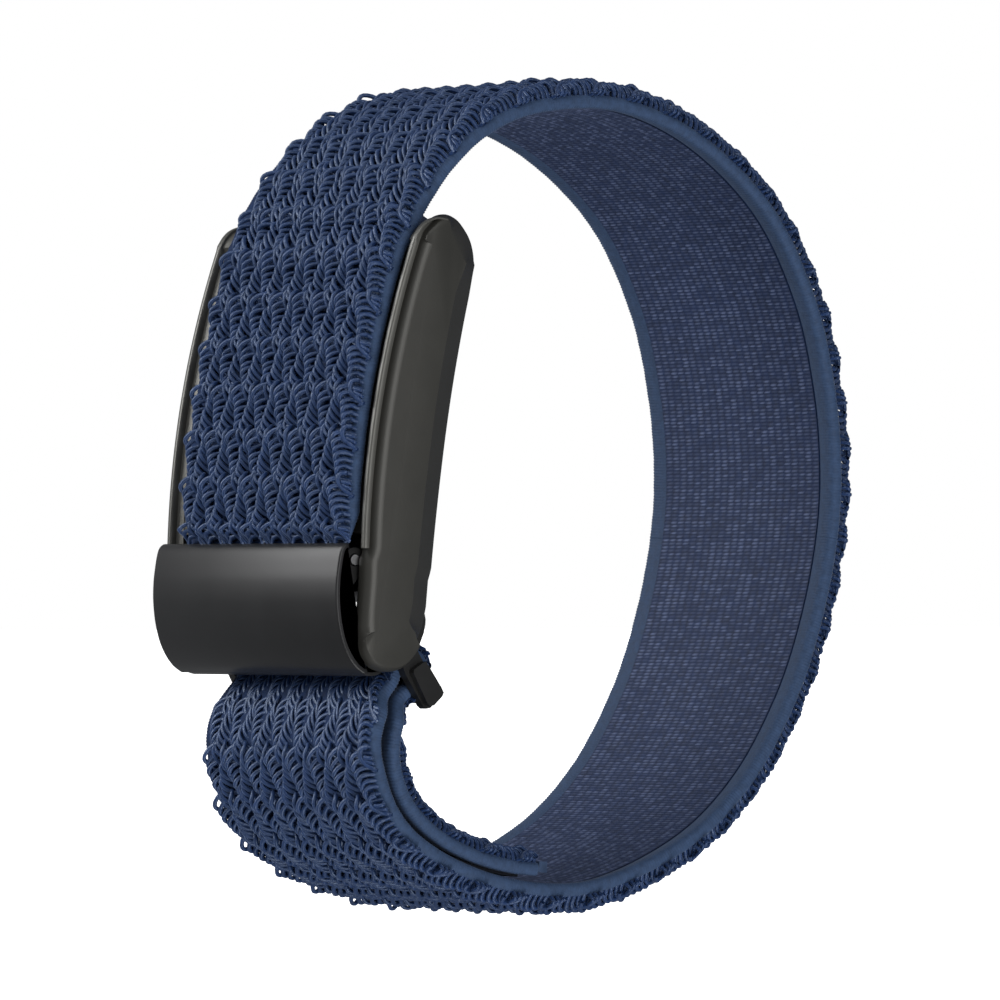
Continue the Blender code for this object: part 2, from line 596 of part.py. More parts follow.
WIN_Z = 0.6
bottom_profile = [(1.5, MODULE_Z[0]), (2.6, MODULE_Z[0]), (3.0, MODULE_Z[0] + 0.5)]
bottom_profile += [(3.05 + (z / 14.0) ** 2 * 0.35, z) for z in np.linspace(-8, 12, 9)]
bottom_profile += [(3.2, MODULE_Z[1] - 0.4), (2.7, MODULE_Z[1]), (1.5, MODULE_Z[1])]
base = slab("case_bottom", bottom_profile, -MODULE_HALF, MODULE_HALF)
base = combine(base, [plan("trim2", plan_out, -6, 6)], "INTERSECT")
base = cut(base, plan("b_in", rounded(MODULE_HALF - 0.7, 11.8, 1.3, cz=MZ), 0, 2.3),
           plan("b_win", rounded(7.5, 6.6, 2.2, cz=WIN_Z), 0, 6), disc("b_tip", 0, 10.6, 1.35, 0, 6, 24))
module("case_bottom", base, "case_black")
module("skin_contact", disc("skin_contact", 0, 10.6, 1.25, 2.4, 3.4, 24), "steel")

# domed window: stacked rounded outlines, open to the inside
def dome(name, levels):
    bm = bmesh.new()
    rings = []
    for y, w, h, r in levels:
        rings.append([bm.verts.new((x * MM, y * MM, z * MM)) for x, z in rounded(w, h, r, 5, cz=WIN_Z)])
    n = len(rings[0])
    for r0, r1 in zip(rings, rings[1:], strict=False):
        for k in range(n):
            bm.faces.new((r0[k], r0[(k + 1) % n], r1[(k + 1) % n], r1[k]))
    bm.faces.new(rings[0])
    bm.faces.new(rings[-1][::-1])
    bm.transform(POD)
    return mesh_from(bm, name, True)


window = dome("sensor_window", [(2.35, 7.35, 6.45, 2.05), (3.35, 7.35, 6.45, 2.05), (3.9, 7.0, 6.1, 2.0),
                                (4.35, 6.2, 5.3, 1.9), (4.65, 5.0, 4.2, 1.7), (4.8, 3.4, 2.8, 1.3),
                                (4.85, 1.6, 1.3, 0.7)])
window_in = dome("w_in", [(1.0, 6.7, 5.8, 1.5), (3.3, 6.7, 5.8, 1.5), (3.6, 6.4, 5.5, 1.5),
                          (4.0, 5.4, 4.6, 1.4), (4.2, 4.2, 3.4, 1.2)])
module("sensor_window", cut(window, window_in), "window_dark")

barrier = plan("light_barrier", rounded(4.9, 4.1, 1.2, cz=WIN_Z), 2.0, 3.3)
cells = []
spots = {"led_green_top": (0, 2.6), "led_green_left": (-1.7, 0.2), "led_green_right": (1.7, 0.2),
         "led_red": (-0.9, -2.2), "led_infrared": (0.9, -2.2)}
diodes = {"photodiode_top": (0, 5.0), "photodiode_bottom": (0, -3.75), "photodiode_left": (-5.75, 0.6),
          "photodiode_right": (5.75, 0.6)}
wells = [plan("well", rounded(0.75, 0.75, 0.2, 2, cx=x, cz=z), 1, 5) for x, z in spots.values()]
module("light_barrier", cut(barrier, *wells), "barrier")
for name, (x, z) in spots.items():
    module(name, box(name, (x - 0.5, x + 0.5), (1.95, 2.5), (z - 0.5, z + 0.5)), "led_clear")
for name, (x, z) in diodes.items():
    w, h = (1.3, 0.35) if x == 0 else (0.6, 1.3)
    if name == "photodiode_bottom":
        z = -4.5
    module(name, box(name, (x - w, x + w), (1.95, 2.35), (z + 0.35 - h, z + 0.35 + h)), "diode_dark")

module("sensor_board", box("sensor_board", (-7.1, 7.1), (1.45, 1.85), (-5.5, 6.7)), "board_green")
main = plan("main_board", rounded(10.0, 11.3, 1.2, cz=1.5), -0.45, 0.1)
main = cut(main, *[disc("mh", x, z, 0.55, -2, 2, 16) for x, z in SCREWS])
module("main_board", main, "board_green")
for name, x, z in (("board_screw_left", *SCREWS[0]), ("board_screw_right", *SCREWS[1])):
    head = disc(name, x, z, 0.85, 0.2, 0.7, 16)
    module(name, join(head, disc("shaft", x, z, 0.4, -0.85, 0.3, 16)), "steel")
module("battery_cell", box("battery_cell", (-9.4, 9.4), (0.25, 1.25), (-3.6, 10.4), 0.25), "cell_silver")
module("processor_chip", box("processor_chip", (-9.0, -3.6), (0.25, 1.0), (-9.4, -4.6)), "chip_black")
module("radio_chip", box("radio_chip", (-2.6, 0.8), (0.25, 0.95), (-8.9, -5.4)), "chip_black")
module("memory_chip", box("memory_chip", (6.3, 9.3), (0.25, 0.85), (-6.6, -4.3)), "chip_black")
module("haptic_motor", box("haptic_motor", (1.8, 9.4), (0.25, 1.9), (-9.9, -7.2), 0.3), "steel")
coil = cut(disc("charge_coil", 0, 1.2, 5.6, -1.12, -0.86, 40), disc("c_in", 0, 1.2, 2.6, -3, 3, 32))
module("charge_coil", coil, "copper")
module("ferrite_sheet", disc("ferrite_sheet", 0, 1.2, 6.0, -0.76, -0.58, 40), "ferrite")
flex = [(10.1, -0.3), (10.25, -0.3), (10.25, 1.75), (7.25, 1.75), (7.25, 1.6), (10.1, 1.6)]
flex_me = slab("flex_cable", [(y, x) for x, y in flex], -1.6, 1.6, tilt=False)
flex_me.transform(POD @ Matrix(((0, 0, 1, 0), (0, 1, 0, 0), (1, 0, 0, 0), (0, 0, 0, 1))))
outward(flex_me)
module("flex_cable", flex_me, "flex_amber")
module("antenna", box("antenna", (-11.0, -10.7), (-0.3, 0.7), (-6.0, 8.0)), "copper")
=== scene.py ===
"""Looks of the woven fitness band: looped cords, ground weave, selvedges, carrier, clasp and buckle.

Strap coordinates, in millimetres: x across the strap, s along its middle line
from the clasp pin, t out of it towards the looped side.
"""

import math

import bpy
import numpy as np
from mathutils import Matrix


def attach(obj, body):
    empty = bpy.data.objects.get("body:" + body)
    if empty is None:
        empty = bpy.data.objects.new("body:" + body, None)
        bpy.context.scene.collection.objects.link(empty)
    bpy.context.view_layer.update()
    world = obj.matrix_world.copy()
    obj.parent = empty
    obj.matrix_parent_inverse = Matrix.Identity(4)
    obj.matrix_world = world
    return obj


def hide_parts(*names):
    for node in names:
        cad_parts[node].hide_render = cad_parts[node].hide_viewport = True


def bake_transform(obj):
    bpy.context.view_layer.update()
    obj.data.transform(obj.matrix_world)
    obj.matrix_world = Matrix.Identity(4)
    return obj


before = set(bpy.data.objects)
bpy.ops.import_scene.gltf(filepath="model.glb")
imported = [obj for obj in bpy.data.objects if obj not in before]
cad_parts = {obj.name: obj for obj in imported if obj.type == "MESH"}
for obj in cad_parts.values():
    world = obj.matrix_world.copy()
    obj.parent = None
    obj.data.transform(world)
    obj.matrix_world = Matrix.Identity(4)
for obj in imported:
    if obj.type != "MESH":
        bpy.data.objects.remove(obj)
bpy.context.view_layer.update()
rng = np.random.default_rng(7)
MM = 0.001
POD_AT = (-16.85, 4.2)
POD_TILT = -8.6
C, S = math.cos(math.radians(POD_TILT)), math.sin(math.radians(POD_TILT))
STRAP_HALF = 12.1
WIDE, SHIFT = 0.98, 0.25     # the strap lies a quarter of a millimetre towards the near cheek
RAIL_Y, RAIL_R2 = -4.6, 144.0
CARRIER_HALF, CHEEK_IN = 13.75, 12.45
CLASP_AT, HINGE_AT = (-3.7, -9.6), (1.9, -13.45)
ANCHOR_AT, LATCH_AT = (-0.3, 16.1), (-0.8, -16.2)
BAR_U, LIFT_AT = (-16.3, -13.0), (-17.2, 20.1)


# ---------------------------------------------------------------- helpers
def to_world(y, z):
    return (POD_AT[0] + C * y - S * z, POD_AT[1] + S * y + C * z)


def arc(cy, cz, r, a0, a1, n):
    return [(cy + r * math.cos(math.radians(a0 + (a1 - a0) * k / n)),
             cz + r * math.sin(math.radians(a0 + (a1 - a0) * k / n))) for k in range(n + 1)]


def catmull(points, per):
    """Catmull-Rom through the points, any dimension, first axis along the curve."""
    p = np.asarray(points, float)
    p = np.concatenate([[2 * p[0] - p[1]], p, [2 * p[-1] - p[-2]]])
    t = (np.arange(per) / per).reshape((per,) + (1,) * (p.ndim - 1))
    out = []
    for i in range(1, len(p) - 2):
        a, b, c, d = p[i - 1], p[i], p[i + 1], p[i + 2]
        out.append(0.5 * (2 * b + (c - a) * t + (2 * a - 5 * b + 4 * c - d) * t * t
                          + (3 * b - a - 3 * c + d) * t ** 3))
    out.append(p[-2][None])
    return np.concatenate(out)


def even(points, step):
    p = np.array(points, float)
    d = np.concatenate([[0], np.cumsum(np.linalg.norm(np.diff(p, axis=0), axis=1))])
    n = max(2, round(d[-1] / step))
    s = np.linspace(0, d[-1], n + 1)
    return np.stack([np.interp(s, d, p[:, k]) for k in (0, 1)], axis=1)


def ramp(s, a, b, va, vb):
    t = np.clip((np.asarray(s, float) - a) / (b - a), 0, 1)
    return va + (vb - va) * t * t * (3 - 2 * t)


# ---------------------------------------------------------------- the strap's middle line
eye = [to_world(*q) for q in arc(*CLASP_AT, 0.86, 112, -180, 22)]
over_pod = [to_world(RAIL_Y - 0.15 + z * z / RAIL_R2, z) for z in (-5.0, -1.0, 3.0, 7.0, 11.0, 14.3)]
into_clasp = [to_world(-4.44, -9.0), to_world(-4.28, -8.3), to_world(-4.3, -7.2)]
loop_line = [LIFT_AT, (-15.94, 22.36), (-13.4, 25.6), (-9.8, 28.5), (-4.7, 30.4), (2.9, 30.7),
             (10.5, 28.1), (17.3, 22.7), (21.4, 15.7), (23.3, 8.7), (23.9, 2.4), (23.5, -3.1),
             (22.0, -9.4), (19.5, -15.6), (15.3, -21.9), (9.5, -26.7), (1.0, -30.0),
             (-6.6, -30.0), (-13.6, -27.9), (-18.2, -24.5), (-20.2, -19.2), (-19.2, -15.5),
             (-18.1, -14.1)]
over_bar = arc(*BAR_U, 1.35, 180, 0, 14)
down = [(-15.25, -14.0), (-16.1, -14.75), (-17.1, -15.6), (-17.9, -17.7), (-18.1, -20.0),
        (-17.45, -22.2), (-16.1, -24.1), (-13.7, -25.9), (-10.6, -27.25), (-7.0, -28.1),
        (-3.5, -28.4)]
line = np.array(eye + [tuple(q) for q in catmull(into_clasp + over_pod + loop_line + over_bar[::2] + down, 10)])
line = even(line, 0.25)
for _ in range(3):
    line[1:-1] = 0.25 * line[:-2] + 0.5 * line[1:-1] + 0.25 * line[2:]
arc_s = np.concatenate([[0], np.cumsum(np.linalg.norm(np.diff(line, axis=0), axis=1))])
S_END = arc_s[-1]
S_EYE = arc_s[np.argmin(np.linalg.norm(line - np.array(to_world(-4.28, -8.3)), axis=1))]


def place(v, mirror=False):
    """Strap coordinates (n, 3) to the row frame, in millimetres."""
    s = v[:, 1]
    pos = np.stack([np.interp(s, arc_s, line[:, k]) for k in (0, 1)], axis=1)
    e = 0.3
    d = (np.stack([np.interp(s + e, arc_s, line[:, k]) for k in (0, 1)], axis=1)
         - np.stack([np.interp(s - e, arc_s, line[:, k]) for k in (0, 1)], axis=1))
    d /= np.linalg.norm(d, axis=1)[:, None]
    q = pos + np.stack([-d[:, 1], d[:, 0]], axis=1) * v[:, 2:3]
    return np.column_stack([v[:, 0] * WIDE + SHIFT, q])


def at_s(s):
    q = place(np.array([[0.0, s, 0.0]]))[0]
    return (0.0, q[1] * MM, q[2] * MM)


# ---------------------------------------------------------------- materials
def material(name, base, rough=0.5, metal=0.0, vary=0.15, scale=900.0, bump=0.0, bump_scale=3000.0,
             stretch=(1, 1, 1), sheen=0.0, sheen_tint=(1, 1, 1), spec=0.5, coat=0.0, rough_vary=0.08,
             light=None, spec_tint=(1, 1, 1)):
    """Noise varies the colour and the roughness, and a finer noise the bump, all in object space."""
    m = bpy.data.materials.new(name)
    m.use_nodes = True
    nt = m.node_tree
    p = nt.nodes["Principled BSDF"]
    p.inputs["Metallic"].default_value = metal
    p.inputs["Specular IOR Level"].default_value = spec
    p.inputs["Specular Tint"].default_value = (*spec_tint, 1)
    p.inputs["Sheen Weight"].default_value = sheen
    p.inputs["Sheen Tint"].default_value = (*sheen_tint, 1)
    p.inputs["Sheen Roughness"].default_value = 0.4
    p.inputs["Coat Weight"].default_value = coat
    tc = nt.nodes.new("ShaderNodeTexCoord")
    mp = nt.nodes.new("ShaderNodeMapping")
    mp.inputs["Scale"].default_value = stretch
    nt.links.new(tc.outputs["Object"], mp.inputs["Vector"])
    n1 = nt.nodes.new("ShaderNodeTexNoise")
    n1.inputs["Scale"].default_value = scale
    n1.inputs["Detail"].default_value = 3
    nt.links.new(mp.outputs["Vector"], n1.inputs["Vector"])
    ramp1 = nt.nodes.new("ShaderNodeValToRGB")
    ramp1.color_ramp.elements[0].position = 0.3
    ramp1.color_ramp.elements[1].position = 0.7
    ramp1.color_ramp.elements[0].color = (*[c * (1 - vary) for c in base], 1)
    ramp1.color_ramp.elements[1].color = (*[min(1, c * (1 + vary)) for c in base], 1)
    nt.links.new(n1.outputs["Fac"], ramp1.inputs["Fac"])
    colour = ramp1.outputs["Color"]
    if light is not None:
        at = nt.nodes.new("ShaderNodeAttribute")
        at.attribute_name = "tone"
        mix = nt.nodes.new("ShaderNodeMix")
        mix.data_type = "RGBA"
        mix.inputs[7].default_value = (*light, 1)
        nt.links.new(at.outputs["Fac"], mix.inputs[0])
        nt.links.new(colour, mix.inputs[6])
        colour = mix.outputs[2]
    nt.links.new(colour, p.inputs["Base Color"])
    mr = nt.nodes.new("ShaderNodeMapRange")
    mr.inputs["To Min"].default_value = max(0.03, rough - rough_vary)
    mr.inputs["To Max"].default_value = min(1.0, rough + rough_vary)
    nt.links.new(n1.outputs["Fac"], mr.inputs["Value"])
    nt.links.new(mr.outputs["Result"], p.inputs["Roughness"])
    if bump:
        n2 = nt.nodes.new("ShaderNodeTexNoise")
        n2.inputs["Scale"].default_value = bump_scale
        n2.inputs["Detail"].default_value = 2
        nt.links.new(mp.outputs["Vector"], n2.inputs["Vector"])
        bp = nt.nodes.new("ShaderNodeBump")
        bp.inputs["Strength"].default_value = bump
        bp.inputs["Distance"].default_value = 0.0001
        nt.links.new(n2.outputs["Fac"], bp.inputs["Height"])
        nt.links.new(bp.outputs["Normal"], p.inputs["Normal"])
    return m


M = {
    "cord": material("cord_navy", (0.0080, 0.0268, 0.096), 0.42, vary=0.22, scale=1500, bump=0.4, bump_scale=9000,
                     sheen=0.3, sheen_tint=(0.45, 0.62, 1.0), spec=0.8, rough_vary=0.06, spec_tint=(0.66, 0.80, 1.0)),
    # the ground cloth: its own navy set darker than the cords', as painted shade in the gaps between the cords
    "ground": material("ground_navy_painted_shade", (0.006, 0.022, 0.075), 0.8, vary=0.3, scale=2500, bump=0.5,
                       bump_scale=6000, spec=0.25),
    "selvedge": material("selvedge_slate", (0.032, 0.062, 0.132), 0.72, vary=0.16, scale=2200, bump=0.35,
                         bump_scale=7000, sheen=0.15, sheen_tint=(0.7, 0.8, 1.0), spec=0.3),
    "weave": material("weave_navy", (0.0074, 0.0185, 0.061), 0.75, vary=0.3, scale=1800, bump=0.5,
                      bump_scale=7000, spec=0.3, light=(0.15, 0.195, 0.35)),
    "carrier": material("carrier_grey_satin", (0.046, 0.045, 0.040), 0.40, metal=0.35, vary=0.04, scale=400,
                        bump=0.05, bump_scale=9000, spec=0.5, rough_vary=0.03),
    # the rail: the carrier's satin made lighter, a painted highlight for the strip that faces the lamps
    "rail": material("carrier_rail_painted_highlight", (0.105, 0.103, 0.094), 0.36, metal=0.35, vary=0.04, scale=400,
                     bump=0.04, bump_scale=9000, spec=0.5, rough_vary=0.03),
    "cover": material("cover_black_satin", (0.019, 0.019, 0.020), 0.36, metal=0.35, vary=0.05, scale=300,
                      bump=0.03, bump_scale=9000, spec=0.45, rough_vary=0.03),
    "buckle": material("buckle_black_satin", (0.016, 0.016, 0.016), 0.36, metal=0.3, vary=0.06, scale=500,
                       bump=0.05, bump_scale=9000),
    "webbing": material("webbing_slate", (0.03, 0.045, 0.09), 0.85, vary=0.25, scale=2500, bump=0.6,
                        bump_scale=7000, stretch=(4, 1, 1)),
    "hook": material("hook_tape_dark", (0.012, 0.016, 0.03), 0.6, vary=0.4, scale=4000, bump=0.8,
                     bump_scale=6000),
    "steel": material("steel_brushed", (0.50, 0.50, 0.51), 0.3, metal=1.0, vary=0.08, scale=1500, bump=0.15,
                      stretch=(0.1, 6, 6)),
    "case": material("case_black_matt", (0.015, 0.015, 0.016), 0.5, vary=0.12, scale=1500, bump=0.15),
    "gasket": material("gasket_black", (0.02, 0.02, 0.02), 0.8, vary=0.2, bump=0.1),
    "window": material("window_tinted", (0.008, 0.008, 0.010), 0.07, vary=0.1, scale=200, spec=0.7, coat=0.3,
                       rough_vary=0.02),
    "barrier": material("barrier_black", (0.01, 0.01, 0.01), 0.9, vary=0.2, bump=0.1),
    "board": material("solder_mask_green", (0.01, 0.09, 0.04), 0.42, vary=0.2, scale=700, bump=0.1),
    "chip": material("chip_mould", (0.02, 0.02, 0.02), 0.6, vary=0.25, scale=3000, bump=0.2),
    "led": material("led_epoxy", (0.75, 0.85, 0.7), 0.15, vary=0.05, scale=1000, coat=0.3),
    "diode": material("diode_dark", (0.03, 0.02, 0.05), 0.15, vary=0.15, scale=1000, coat=0.3),
    "cell": material("cell_foil", (0.6, 0.6, 0.62), 0.38, metal=0.8, vary=0.06, scale=500, bump=0.25,
                     bump_scale=1200),
    "copper": material("copper_winding", (0.75, 0.35, 0.18), 0.35, metal=1.0, vary=0.12, scale=1200, bump=0.2),
    "ferrite": material("ferrite_grey", (0.05, 0.05, 0.055), 0.65, vary=0.2, scale=1500, bump=0.15),
    "flex": material("flex_amber", (0.5, 0.22, 0.03), 0.3, vary=0.1, scale=900, coat=0.2),
}
NODE_MATERIAL = {
    "anchor_tab": "webbing", "tail_tip": "selvedge", "hook_patch": "hook", "buckle_ring": "buckle",
    "top_anchor_bar": "steel", "latch_bar": "steel", "buckle_pin": "steel", "clasp_frame": "buckle",
    "clasp_pin": "steel", "latch_spring": "steel", "skin_contact": "steel", "board_screw_left": "steel",
    "board_screw_right": "steel", "haptic_motor": "steel", "case_top": "case", "case_bottom": "case",
    "case_gasket": "gasket", "sensor_window": "window", "light_barrier": "barrier",
    "led_green_top": "led", "led_green_left": "led", "led_green_right": "led", "led_red": "led",
    "led_infrared": "led", "photodiode_top": "diode", "photodiode_bottom": "diode",
    "photodiode_left": "diode", "photodiode_right": "diode", "sensor_board": "board",
    "main_board": "board", "processor_chip": "chip", "radio_chip": "chip", "memory_chip": "chip",
    "battery_cell": "cell", "charge_coil": "copper", "antenna": "copper", "ferrite_sheet": "ferrite",
    "flex_cable": "flex", "carrier_frame": "carrier", "clasp_cover": "cover",
    "strap_loop": "ground", "strap_bend_top": "ground", "strap_flap": "ground", "strap_fold": "ground",
    "strap_tail": "ground",
}
for node, key in NODE_MATERIAL.items():
    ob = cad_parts[node]
    ob.data.materials.clear()
    ob.data.materials.append(M[key])


def add(name, verts, faces, mat, caps=(), tone=None, smooth=True, sharp=None):
    """A mesh object from row-frame millimetres."""
    me = bpy.data.meshes.new(name)
    polys = np.asarray(faces).tolist() if len(faces) else []
    me.from_pydata((np.asarray(verts) * MM).tolist(), [], polys + [list(c) for c in caps])
    me.materials.append(M[mat])
    if smooth:
        me.shade_smooth()
        if sharp:
            me.set_sharp_from_angle(angle=math.radians(sharp))
    if tone is not None:
        a = me.attributes.new("tone", "FLOAT", "POINT")
        a.data.foreach_set("value", np.asarray(tone, np.float32))
    me.update()
    ob = bpy.data.objects.new(name, me)
    bpy.context.scene.collection.objects.link(ob)
    return ob


def grid_faces(rows, cols, close=False, base=0):
    r = np.arange(rows - 1)[:, None]
    c = np.arange(cols if close else cols - 1)[None, :]
    c2 = (c + 1) % cols
    return (np.stack([r * cols + c, r * cols + c2, (r + 1) * cols + c2, (r + 1) * cols + c], -1)
            .reshape(-1, 4) + base)


# ---------------------------------------------------------------- looped cords
PITCH_S = 3.53          # rows of loops along the strap
STRANDS = 7             # cords in a row
PITCH_X = 2.9 / WIDE    # columns of loops across the strap
FOOT_X = -9.85          # first column's foot
CORD_R = 0.182
ROW_AT = 16.8           # a row's uppermost cord
SIDES = 6


def strand(s, k, jit):
    """Control points of one cord across the strap: two raised bends in each column, one on the
    column's straight left crest and one on its slanting right crest."""
    pts = []
    for j in range(8):
        a = FOOT_X + PITCH_X * j + 0.13 * k + jit[j, 0]
        wa = 2.42 - k * 2.15 / 6
        wb = PITCH_X - wa
        h = 1.56 - 0.05 * k + jit[j, 1]
        up = (0.36, 0.24, 0.13, 0.05, 0, 0, 0)[k]
        c = s + jit[j, 2]
        pts += [(a + 0.06, c - 0.98, 0.46),
                (a - 0.03, c - 0.66, 0.98),
                (a - 0.01, c - 0.32, h - 0.16),
                (a + 0.09, c + 0.02, h)]
        if j == 7:
            w = 11.95 - a
            pts += [(a + 0.26 * w, c + 0.28, h - 0.20),
                    (a + 0.55 * w, c + 0.38, h - 0.52),
                    (a + 0.80 * w, c + 0.36, 0.66),
                    (11.93, c + 0.30, 0.38),
                    (12.05, c + 0.26, 0.14)]
            break
        near = min(1.0, wa / 1.3)
        pts += [(a + 0.15 + 0.12 * wa, c + 0.30 + 0.5 * up, h - 0.22 * near),
                (a + 0.12 + 0.40 * wa, c + 0.47 + 0.9 * up, h - 0.66 * near),
                (a + 0.06 + 0.78 * wa, c + 0.56 + up, h - 0.90 * near)]
        b = a + wa
        g = h - 0.08
        pts += [(b + 0.00, c + 0.44 + 0.8 * up, g - 0.36 * near),
                (b - 0.02, c + 0.14 + 0.5 * up, g - 0.04),
                (b + 0.03 + 0.06 * wb, c - 0.20 + 0.25 * up, g - 0.06),
                (b + 0.05 + 0.20 * wb, c - 0.54, g - 0.28),
                (b + 0.05 + 0.42 * wb, c - 0.86, g - 0.62)]
        if k > 2:
            pts.append((b + 0.05 + 0.70 * wb, c - 1.05, 0.56))
        else:
            pts.append((b + 0.05 + 0.62 * wb, c - 0.98, 0.62))
    return pts


def tubes(paths, radius, sides):
    """Round cords along (n, m, 3) centre lines in strap coordinates."""
    n, m, _ = paths.shape
    tan = np.gradient(paths, axis=1)
    tan /= np.linalg.norm(tan, axis=2, keepdims=True)
    up = np.zeros_like(tan)
    up[..., 2] = 1.0
    side = np.cross(tan, up)
    side /= np.maximum(np.linalg.norm(side, axis=2, keepdims=True), 1e-6)
    up = np.cross(side, tan)
    ang = 2 * np.pi * np.arange(sides) / sides
    ring = (paths[:, :, None, :] + radius * (np.cos(ang)[None, None, :, None] * side[:, :, None, :]
                                             + np.sin(ang)[None, None, :, None] * up[:, :, None, :]))
    v = ring.reshape(-1, 3)
    one = grid_faces(m, sides, True)[:, ::-1]
    f = (one[None] + (np.arange(n) * m * sides)[:, None, None]).reshape(-1, 4)
    return v, f


def cords(name, s0, s1, height, half=lambda s: np.full_like(np.asarray(s, float), 1.0)):
    """Every cord whose uppermost point lies in s0..s1. height scales how far it stands off the ground."""
    strands, legs, fans = [], [], []
    first = math.ceil((s0 - ROW_AT) / PITCH_S - 1)
    last = math.floor((s1 - ROW_AT) / PITCH_S + 2)
    for row in range(first, last + 1):
        for k in range(STRANDS):
            s = ROW_AT + row * PITCH_S - 0.504 * k
            if not s0 <= s < s1:
                continue
            gen = np.random.default_rng(1000 + row * 7 + k)
            jit = gen.normal(0, 1, (8, 3)) * (0.045, 0.05, 0.035)
            if k == 0:
                jit[:, 1] += 0.12
            strands.append(strand(s, k, jit))
            if k == 6:
                for c in range(8):
                    a = FOOT_X + PITCH_X * c + 0.78 + jit[c, 0]
                    e = 1.0 if c < 7 else 1.25
                    for q in range(1):
                        o = 0.0
                        legs.append([(a + 0.62 + o, s + 0.30 - o, 0.80), (a + 0.24 + o, s + 0.22 - o, 1.16 - 0.08 * q),
                                     (a + 0.16 + o, s - 0.12 - o, 1.26 - 0.08 * q), (a + 0.22 + o, s - 0.50 - o, 1.18 - 0.08 * q),
                                     (a + 0.40 * e + o, s - 0.88 - o, 0.98 - 0.08 * q),
                                     (a + 0.68 * e + o, s - 1.22 - o, 0.66), (a + 0.95 * e + o, s - 1.42 - o, 0.44)])
                fans += [[(a + 0.45, s - 0.35 - 0.2 * q, 1.12 - 0.1 * q), (a + 0.75, s - 0.42 - 0.3 * q, 0.98 - 0.1 * q),
                          (a + 1.05, s - 0.46 - 0.42 * q, 0.70 - 0.07 * q), (11.95, s - 0.5 - 0.5 * q, 0.25)]
                         for q in range(3)]
    vs, fs, base = [], [], 0
    for group, per, rad in ((strands, 2, CORD_R), (legs, 4, CORD_R * 0.92), (fans, 4, CORD_R * 0.8)):
        if not group:
            continue
        ctrl = np.array(group, float)                      # (n, m, 3)
        path = catmull(ctrl.transpose(1, 0, 2), per).transpose(1, 0, 2)
        v, f = tubes(path, rad, SIDES)
        vs.append(v)
        fs.append(f + base)
        base += len(v)
    v, f = np.concatenate(vs), np.concatenate(fs)
    sc = height(v[:, 1])
    v[:, 2] = 0.42 + (v[:, 2] - 0.42) * sc
    v[:, 0] *= half(v[:, 1])
    return add(name, place(v), f, "cord")


# ---------------------------------------------------------------- ground, selvedges and inner weave
def ground(name, s0, s1, step=0.08, half=lambda s: np.full_like(np.asarray(s, float), STRAP_HALF),
           thick=lambda s: np.full_like(np.asarray(s, float), 1.0), rib=0.028):
    """The ground cloth with its rolled, finely ribbed edges, one closed skin."""
    edge = [(10.45, -0.50), (10.8, -0.60), (11.3, -0.66), (11.8, -0.70), (12.15, -0.66), (12.34, -0.48),
            (12.40, -0.20), (12.36, 0.06), (12.22, 0.26), (11.8, 0.36), (11.0, 0.38), (10.4, 0.36)]
    mid_out = [(9.9, 0.62), (6.5, 0.66), (0.0, 0.66), (-6.5, 0.66), (-9.9, 0.62)]
    mid_in = [(x, -0.5) for x in (-5.2, 5.2)]
    ring = np.array(edge + mid_out + [(-x, t) for x, t in edge[::-1]] + mid_in)
    n = max(2, round((s1 - s0) / step)) + 1
    s = np.linspace(s0, s1, n)
    tuck = ramp(s, 22, 33, 0.92, 1.0) - ramp(s, 146, 156, 0.0, 0.09)
    x = ring[None, :, 0] / STRAP_HALF * half(s)[:, None]
    x = np.where(x < 0, x * tuck[:, None], x)
    t = np.repeat(ring[None, :, 1], n, 0)
    is_edge = np.abs(ring[:, 0]) > 10.9
    wave = np.cos(2 * np.pi * s / 0.24)
    gx = np.sign(ring[:, 0]) * np.clip((np.abs(ring[:, 0]) - 11.5) / 0.8, 0, 1)
    gt = ring[:, 1] / 0.55
    wob = 0.02 * np.sin(s * 1.7) + 0.015 * np.sin(s * 4.3 + 1)
    x = x + np.where(is_edge, rib * wave[:, None] * gx, 0) + np.where(is_edge, wob[:, None] * gx, 0)
    t = (t + np.where(is_edge, rib * wave[:, None] * gt, 0)) * thick(s)[:, None]
    v = np.stack([x, np.repeat(s[:, None], len(ring), 1), t], -1).reshape(-1, 3)
    f = grid_faces(n, len(ring), True)
    m = len(ring)
    caps = [list(range(m))[::-1], list(range((n - 1) * m, n * m))]
    ob = add(name, place(v), f, "ground", caps=caps)
    ob.data.materials.append(M["selvedge"])
    # selvedge material on both edges, except the far edge's faces from t = 0.1 outwards, which keep the darker ground
    # material as painted shade from the rail
    col = np.tile(np.arange(m), n - 1)
    nxt = ring[(col + 1) % m, 0]
    edge_col = ((ring[col, 0] > 10.3) & (nxt > 10.3)) | ((ring[col, 0] < -10.3) & (nxt < -10.3)
                                                         & (ring[col, 1] < 0.1))
    idx = np.zeros(len(ob.data.polygons), np.int32)
    idx[:len(col)] = edge_col
    ob.data.polygons.foreach_set("material_index", idx)
    return ob


